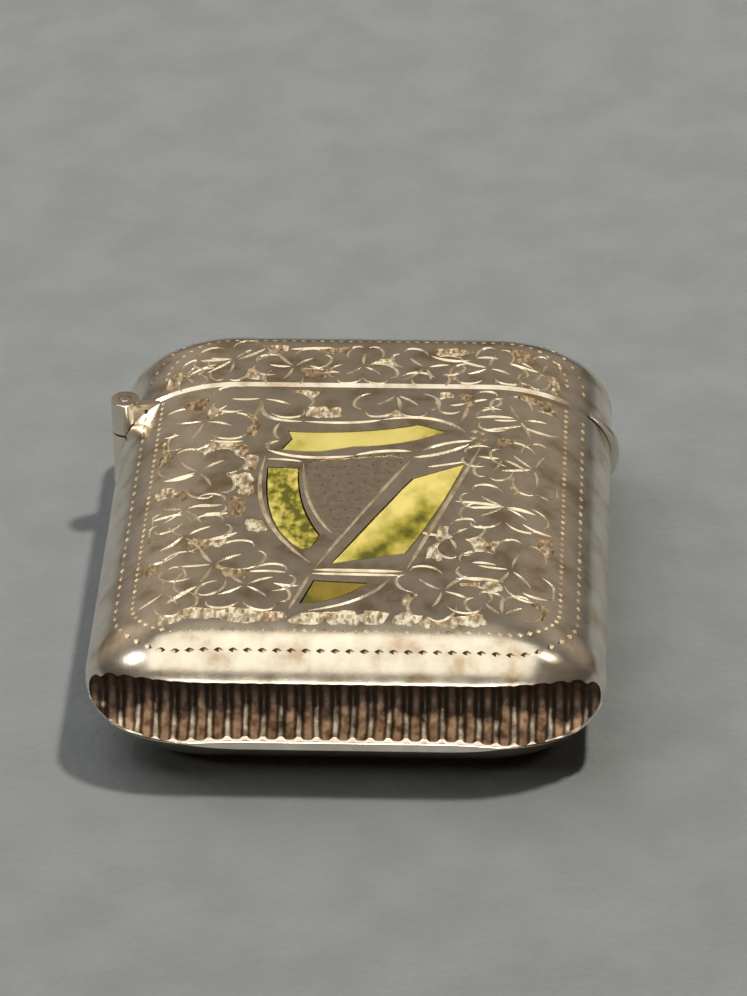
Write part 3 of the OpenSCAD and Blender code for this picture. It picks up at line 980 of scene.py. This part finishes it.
# The edge of the plain silver round the harp, and the cuts that draw it
harp_edge = (bow((-7.4, 2.4), (-8.7, -6.2), (-3.1, -12.5)) + [(-4.4, -18.5)]
             + bow((-0.5, -18.4), (2.6, -16.6), (3.4, -14), 5) + [(4.5, -13.7)]
             + bow((4.7, -12.6), (6.9, -6), (9.5, 3.6)) + [(10, 5), (9.6, 6.2), (8.4, 6.3)]
             + bow((8.2, 6.4), (6.4, 8.6), (3.2, 8.1), 6) + bow((2.6, 8), (-1.2, 7), (-5.4, 7.7), 6)
             + [(-6.8, 7.4), (-6.7, 6), (-6.5, 5), (-7.3, 3.4)])
harp_lines = [
    ((-7, 2.3), (-8.2, -6.2), (-2.8, -12.1), 0.17),
    ((-4.05, 1.3), (-3.9, -4.5), (-1.4, -8.2), 0.13),
    ((4, 2), (1, -4.2), (-2.4, -12.7), 0.14),
    ((9.2, 4), (6.4, -5.6), (4.3, -12.8), 0.17),
    ((5.3, 1.05), (6.7, 1.4), (8.1, 1.85), 0.12),
    ((-6.8, 1.9), (-5.5, 1.95), (-4.2, 1.6), 0.12),
    ((-6.9, 3.2), (-4.5, 1.6), (-0.3, 2.5), 0.17),
    ((-0.2, 2.6), (2, 3.5), (4, 3.2), 0.17),
    ((-7.6, 9.8), (-8.2, 7.3), (-4.5, 7.25), 0.18),
    ((-4.3, 7.25), (-0.5, 6.9), (1.5, 7.6), 0.16),
    ((1.6, 7.65), (5.8, 8.9), (8, 6), 0.17),
    ((-6.2, 7), (-6.9, 5.6), (-6.1, 4.7), 0.14),
    ((-6.1, 4.5), (-7.3, 4), (-6.8, 3.3), 0.14),
    ((4.2, 2.4), (6.3, 2.6), (8.3, 4.3), 0.17),
    ((4.8, 3.3), (6.4, 4.7), (8.6, 4.8), 0.16),
    ((-2.5, -13), (0.7, -13.05), (4, -13.1), 0.2),
    ((-2.6, -13.5), (0.7, -13.55), (3.9, -13.6), 0.16),
    ((-2.8, -13.8), (-3.4, -16), (-4, -18.1), 0.14),
    ((3.1, -14), (1.8, -17.2), (-2.6, -18.3), 0.15),
]

# The strings are rows of punched dots on a matted field, which end at the soundboard
string_field = (bow((-3.7, 1.4), (-3.6, -4.2), (-1.2, -7.8)) + bow((-0.7, -8.2), (1.4, -3.6), (3.6, 2.2))
                + bow((2.6, 2.6), (0.4, 2.3), (-2.6, 1.9), 4))
string_dots = []
for k in range(strings):
    x, y = string_start[0] + string_gap[0] * k, string_start[1] + string_gap[1] * k
    while x < string_end[0] + string_end_lean * (y - string_end[1]):
        string_dots.append((x, y, 0))
        x, y = x + string_step[0], y + string_step[1]

body_face = half_shell(body_end_y, front_flat_y, nose_y, nose_angle, True, body_chamfer, face_silver)
plain_islands = leaf_islands(body_shamrocks) + [island(harp_edge, bright_cut)]
windows = [island(line, worn_silver, window_half, 0) for line in stone_lines.values()]
carve(body_face, [groove_bar(), hinge_relief()] + windows)
carve(body_face, [ground_tool(field_front_y - ground_past, field_back_y + joint_past, body_patches,
                              plain_islands)])
carve(body_face, [island(string_field, string_silver, string_sink)])
carve(body_face, stroke_tools(shamrock_strokes(body_shamrocks) + bowed(body_accents)))
carve(body_face, stroke_tools(bowed(harp_lines), harp_taper))
# The notches are painted dark as shade on their side away from the key lamp, and bright on the lit side
carve(body_face, [punch_tool(body_border(bead_line, bead_pitch), bead_half_l, bead_r, bright_cut),
                  punch_tool(body_border(notch_line, notch_pitch), notch_half_l, notch_half_w, tarnish_and_shade,
                             bright_cut),
                  punch_tool(string_dots, string_r, string_r, tarnish_and_shade),
                  punch_tool(shoulder_beads, 2 * bead_r, 1.5 * bead_r, bright_cut)])
settle(body_face, "body_face", "body", "silver", "body_front_shell", angle=20)

# The four stones of the harp are slips of green marble, sawn to outline, polished flat and bedded in
# cement so that they lie flush with the silver, with a dark line of cement showing round each.
cement_line = 0.11
stone_t = 1
stone_sink = 0.02
stone_bevel = 0.07
streak_shade = -0.2
streak_reach = 1.7
marble_pale = (0.6, 0.48, 0.14, 1)
marble_cream = (0.5, 0.41, 0.125, 1)
marble_gold = (0.42, 0.34, 0.08, 1)
marble_green = (0.24, 0.2, 0.025, 1)
marble_olive = (0.2, 0.145, 0.02, 1)
marble_brown = (0.15, 0.108, 0.013, 1)
marble_dark = (0.075, 0.072, 0.009, 1)
stone_top_z = 2 * mid_z - stone_sink

# Each stone's colours from pale to dark, the size of its clouds, its clearness, and its dark streak: middle,
# heading, half length and half width
stone_looks = {
    "neck_stone": ("pale_marble", marble_cream, marble_gold, marble_green, 3, 0.1, (6.2, 6, 45, 2, 0.8)),
    "pillar_stone": ("mottled_marble", marble_pale, marble_green, marble_dark, 0.6, 0.02,
                     (-4.4, -5, -72, 6.5, 0.8)),
    "soundboard_stone": ("clouded_marble", marble_pale, marble_green, marble_dark, 2, 0.2,
                         (2.6, -9.6, 58, 6.2, 1.6)),
    "foot_stone": ("olive_marble", marble_olive, marble_brown, marble_dark, 2, 0.06, (-3, -17, 0, 1.5, 1)),
}


def marble(name, pale, green, dark, clouds, clear, streak):
    material = surface(name, 0, None, ((0.8, 4), [(0.3, 0.16), (0.7, 0.3)]), ((0.4, 4), 0.006))
    tree = material.node_tree
    x, y, turn, half_l, half_wide = streak
    place = tree.nodes.new("ShaderNodeTexCoord")
    on_streak = tree.nodes.new("ShaderNodeMapping")
    on_streak.vector_type = "TEXTURE"
    on_streak.inputs["Location"].default_value = (x * mm, y * mm, 2 * mid_z * mm)
    on_streak.inputs["Rotation"].default_value = (0, 0, math.radians(turn))
    on_streak.inputs["Scale"].default_value = (half_l * mm, half_wide * mm, mm)
    off_streak = tree.nodes.new("ShaderNodeVectorMath")
    off_streak.operation = "LENGTH"
    tree.links.new(place.outputs["Object"], on_streak.inputs["Vector"])
    tree.links.new(on_streak.outputs["Vector"], off_streak.inputs[0])
    streaked = spread(tree, off_streak.outputs["Value"], 0, streak_reach, streak_shade, clear)
    clouded = combine(tree, "ADD", streaked, grain(tree, clouds, 7, (1, 0.6, 1)))
    middle = tuple((a + b) / 2 for a, b in zip(pale, green))
    tint(material, ramp(tree, clouded, [(0.32, dark), (0.43, green), (0.55, middle), (0.7, pale)]))
    return material


def on_stone_top(a, b):
    return min(a.z, b.z) > stone_top_z - on_edge


for node, line in stone_lines.items():
    stone = island(drawn_in(line, cement_line), marble(*stone_looks[node]), slope=0)
    for vertex in stone.data.vertices:
        vertex.co.z = stone_top_z if vertex.co.z > 2 * mid_z else 2 * mid_z - stone_t
    pick_edges(stone, on_stone_top)
    soften(stone_bevel)
    settle(stone, "marble_" + node.removesuffix("_stone"), "body", "marble", node)

# The cement bed and the tray behind it close the stones off from the matches. The cement is a dull brown
# filling, and the tray is thin gilt sheet soldered to the inside of the face.
cement_brown = (0.075, 0.05, 0.03, 1)
cement_grey = (0.16, 0.12, 0.08, 1)


def refinish(node, finish):
    frame["nodes"][node].data.materials.clear()
    coat(frame["nodes"][node], finish)


refinish("cement_bed", surface("jewellers_cement", 0, ((0.7, 5), [(0.35, cement_brown), (0.65, cement_grey)]),
                               0.85, ((0.12, 4), 0.03)))
refinish("stone_backplate", gilt)

# The collar is a band of gilt sheet bent to the inside of the case and soldered in its mouth. The lid
# closes over its upper part, which is set in a little and notched for the lid's heel and tab.
collar_fit = 0.01
collar_clear = 0.12
collar_t = 0.4
collar_lip = 0.12
collar_step = 0.01
collar_columns = 240
flat_pace = 1.6
notch_h = 3
notch_reach = 1.12
notch_drop = 2.14

collar_seated = wall + collar_fit
collar_free = wall + collar_clear
collar_inside = collar_free + collar_t
collar_low_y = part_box("mouth_collar")[0][1] / mm
collar_high_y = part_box("mouth_collar")[1][1] / mm

# The band's section: places along the case, and how far each lies inside the outer form
collar_path = [
    (collar_low_y, collar_seated), (body_end_y - 2 * collar_step, collar_seated),
    (body_end_y - collar_step, collar_free), (collar_high_y - collar_lip, collar_free),
    (collar_high_y, collar_free + collar_lip), (collar_high_y, collar_inside), (collar_low_y, collar_inside),
]


def block(place):
    deselect()
    bpy.ops.mesh.primitive_cube_add(size=2)
    piece = bpy.context.object
    for vertex in piece.data.vertices:
        vertex.co = place(*vertex.co)
    return piece


def notch_corner(x, y, z):
    return (axis_x + notch_reach if x > 0 else -2 * half_w, tail_y if y > 0 else joint_y - notch_drop,
            mid_z + notch_h / 2 * z)


collar_rows = len(collar_path)
collar = grid(collar_columns, collar_rows)
for vertex in collar.data.vertices:
    y, inset = collar_path[round((vertex.co.y + 1) / 2 * collar_rows) % collar_rows]
    turn = math.pi * vertex.co.x
    x = flat_x * max(-1, min(1, flat_pace * math.sin(turn))) + (side_round - inset) * math.sin(turn) ** 3
    share = min(1, max(0, abs(x) - flat_x) / (side_round - inset))
    z = (mid_z - inset) * math.sqrt(1 - share ** 2)
    vertex.co = (x, y, mid_z + math.copysign(z, math.cos(turn)))
close_up(collar)
coat(collar, gilt)
carve(collar, [coat(block(notch_corner), gilt), hinge_relief()])
settle(collar, "gilt_collar", "body", "gilt_silver", "mouth_collar", angle=40)

# The spring is a leaf of blued steel. A domed rivet holds its root on a gilt block soldered inside the
# hinge wall, and its free end presses on the lid's heel.
leaf_bevel = 0.07
rivet_bevel = 0.14
rivet_sides = 40
steel_blue = (0.1, 0.12, 0.17, 1)
steel_straw = (0.26, 0.2, 0.13, 1)


def corners(node):
    return [Vector(corner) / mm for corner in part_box(node)]


def spring_corner(*signs):
    return [a if sign < 0 else b for a, b, sign in zip(*corners("lid_spring"), signs)]


blued_steel = surface("blued_steel", 1, ((2.5, 4), [(0.4, steel_blue), (0.68, steel_straw)]),
                      ((0.5, 4, (1, 0.1, 1)), [(0.3, 0.22), (0.7, 0.4)]))
refinish("spring_seat", gilt)
leaf_spring = coat(block(spring_corner), blued_steel)
edit(leaf_spring)
soften(leaf_bevel)
settle(leaf_spring, "leaf_spring", "body", "spring_steel", "lid_spring", angle=40)

rivet_low, rivet_high = corners("spring_rivet")
rivet_middle = (rivet_low + rivet_high) / 2
rivet = rod(rivet_sides, (rivet_high.y - rivet_low.y) / 2, rivet_high.x - rivet_low.x, rivet_middle,
            (0, math.pi / 2, 0))
pick_edges(rivet, lambda a, b: min(a.x, b.x) > rivet_middle.x)
soften(rivet_bevel, 4)
coat(rivet, blued_steel)
settle(rivet, "rivet_head", "body", "spring_steel", "spring_rivet", angle=40)

# The body's two knuckles are turned from silver tube with a web that is soldered to the side of the case.
# A silver pin runs through them and the lid's knuckle, and its ends are peened over.
knuckle_bevel = 0.12
web_t = 0.5
pin_clear = 0.03
same_place = 0.001
pin_low, pin_high = corners("hinge_pin")
pin_r = (pin_high.x - pin_low.x) / 2


def round_ends(piece):
    low = min(v.co.z for v in piece.data.vertices)
    high = max(v.co.z for v in piece.data.vertices)

    def at_end(a, b):
        return abs(a.z - b.z) < same_place and min(abs(a.z - low), abs(a.z - high)) < same_place

    pick_edges(piece, at_end)
    soften(knuckle_bevel)


def body_knuckle(node):
    low, high = corners(node)

    def web_corner(x, y, z):
        front_y = joint_y - (barrel_d / 2 - knuckle_bevel if x < 0 else web_t)
        return (axis_x if x < 0 else high.x, front_y if y < 0 else body_end_y,
                low.z + knuckle_bevel if z < 0 else high.z - knuckle_bevel)

    knuckle = hinge_bar(barrel_d / 2, high.z - low.z, (low.z + high.z) / 2)
    round_ends(knuckle)
    web = coat(block(web_corner), worn_silver)
    carve(web, [nose_solid()])
    carve(knuckle, [web], "UNION")
    carve(knuckle, [hinge_bar(pin_r + pin_clear, 4 * mid_z, mid_z)])
    return knuckle


for node in ("body_knuckle_upper", "body_knuckle_lower"):
    settle(body_knuckle(node), node.replace("body_knuckle", "hinge_knuckle"), "body", "silver", node)

pin = hinge_bar(pin_r, pin_high.z - pin_low.z, mid_z)
round_ends(pin)
settle(pin, "peened_pin", "body", "silver", "hinge_pin")
refinish("lid_knuckle", worn_silver)

# The lid is made as the body is, of two stampings soldered at the seam: a plain back, and a face with the
# same engraved shamrocks, beads and notches. Its edge is chamfered where it meets the body.
lid_front_y = 13.1
lid_far_y = 18.7
lid_chamfer = 0.32
tail_angle = math.radians(90)
lid_shamrocks = [
    (-10.3, 16.2, (165, 262, 48), 3.3, 215),
    (-5.6, 15.2, (248, 42, 172), 3.3, 120),
    (-0.2, 15.4, (222, 318, 88), 3.1, 20),
    (4.6, 15.3, (132, 12, 285), 3.2, 225),
    (9.5, 15.3, (208, 76, 335), 3.2, 150),
    (13.6, 15.5, (75, 245), 2.6, 160),
    (-14, 14.6, (60, 300), 2.4, 20),
]
lid_patches = [
    (-14, 14.6, 1.5, 1.3, 1), (-8.4, 14.1, 1.4, 0.9, 1), (-3.9, 14.8, 1.1, 1.2, 0), (1.4, 15.9, 1.1, 0.7, 2),
    (6.3, 14.6, 1.6, 1.1, 0), (11.6, 13.6, 1.8, 0.6, 0), (14.2, 14.4, 0.8, 1.2, 1), (-7.2, 17.8, 1.5, 0.6, 1),
    (11.8, 17.4, 1, 0.8, 0), (-2.4, 17.6, 1.2, 0.6, 0), (6.6, 17.6, 1.4, 0.6, 1),
]
lid_accents = [
    ((-13, 16.6), (-12, 16.2), (-10.8, 16.2), 0.17),
    ((-10, 16.2), (-8.9, 16.8), (-8, 17.8), 0.17),
    ((5, 17), (6.4, 16), (8, 16.4), 0.18),
    ((-6, 17.8), (-4.5, 17.9), (-2.8, 18.1), 0.18),
    ((-3.8, 14.3), (-2.9, 14.7), (-2, 14.4), 0.14),
    ((2.8, 14), (4.2, 15.2), (5.4, 13.8), 0.15),
    ((-4.4, 15.4), (-3.7, 14.9), (-2.9, 14.9), 0.14),
    ((8.6, 16.8), (9.4, 17), (10.2, 16.7), 0.15),
    ((11.4, 16.8), (12.2, 16.5), (13, 15.8), 0.14),
]


def lid_border(line, pitch):
    points = rounded_field(field_x + line, lid_front_y, lid_far_y + line, 0, field_corner + line)
    return spaced(points[1:-1], pitch)


lid_back = half_shell(lid_start_y, back_flat_y, tail_y, tail_angle, False, lid_chamfer, worn_silver)
carve(lid_back, [hinge_relief()])
settle(lid_back, "lid_back", "lid", "silver", "lid_back_shell")

lid_face = half_shell(lid_start_y, back_flat_y, tail_y, tail_angle, True, lid_chamfer, face_silver)
lid_leaves = leaf_islands(lid_shamrocks)
carve(lid_face, [hinge_relief()])
carve(lid_face, [ground_tool(lid_front_y - joint_past, lid_far_y + ground_past, lid_patches, lid_leaves)])
carve(lid_face, stroke_tools(shamrock_strokes(lid_shamrocks) + bowed(lid_accents)))
# As on the body, the notches are painted dark as shade on the side away from the key lamp
carve(lid_face, [punch_tool(lid_border(bead_line, bead_pitch), bead_half_l, bead_r, bright_cut),
                 punch_tool(lid_border(notch_line, notch_pitch), notch_half_l, notch_half_w, tarnish_and_shade,
                            bright_cut)])
settle(lid_face, "lid_face", "lid", "silver", "lid_front_shell", angle=20)

# The thumb lip is a thin crescent of silver, soldered to the edge of the lid on the side away from the hinge.
# Its outer edge is rounded off for the thumb.
lip_bevel = 0.16
lip_steps = 24
lip_tip = 0.1
lip_low, lip_high = corners("thumb_lip")
lip_half = (lip_high.z - lip_low.z) / 2
lip_end_x = flat_x + side_round * math.sqrt(1 - (lip_half / mid_z) ** 2)
lip_bulge = lip_high.x - lip_end_x
lip_r = (lip_half ** 2 + lip_bulge ** 2) / (2 * lip_bulge)
lip_turn = math.asin(lip_half / lip_r)
lip_outline = [heading(lip_high.x - lip_r, 0, math.degrees(lip_turn) * (2 * k / lip_steps - 1), lip_r)
               for k in range(lip_steps + 1)]
for k in range(1, lip_steps):
    z = lip_half * (1 - 2 * k / lip_steps)
    lip_outline.append((flat_x + side_round * math.sqrt(1 - (z / mid_z) ** 2), z))


def lip_point(k, side):
    x, z = lip_outline[k]
    return x, lip_low.y if side < 0 else lip_high.y, mid_z + z


def on_lip_rim(p):
    off_middle = abs(p.z - mid_z)
    off_axis = math.hypot(p.x - lip_high.x + lip_r, off_middle)
    return off_axis > lip_r - on_edge and off_middle < lip_half - lip_tip


lip = coat(prism(len(lip_outline), lip_point), worn_silver)
close_up(lip)
pick_edges(lip, lambda a, b: abs(a.y - b.y) < same_place and on_lip_rim(a) and on_lip_rim(b))
soften(lip_bevel)
settle(lip, "thumb_crescent", "lid", "silver", "thumb_lip", angle=40)
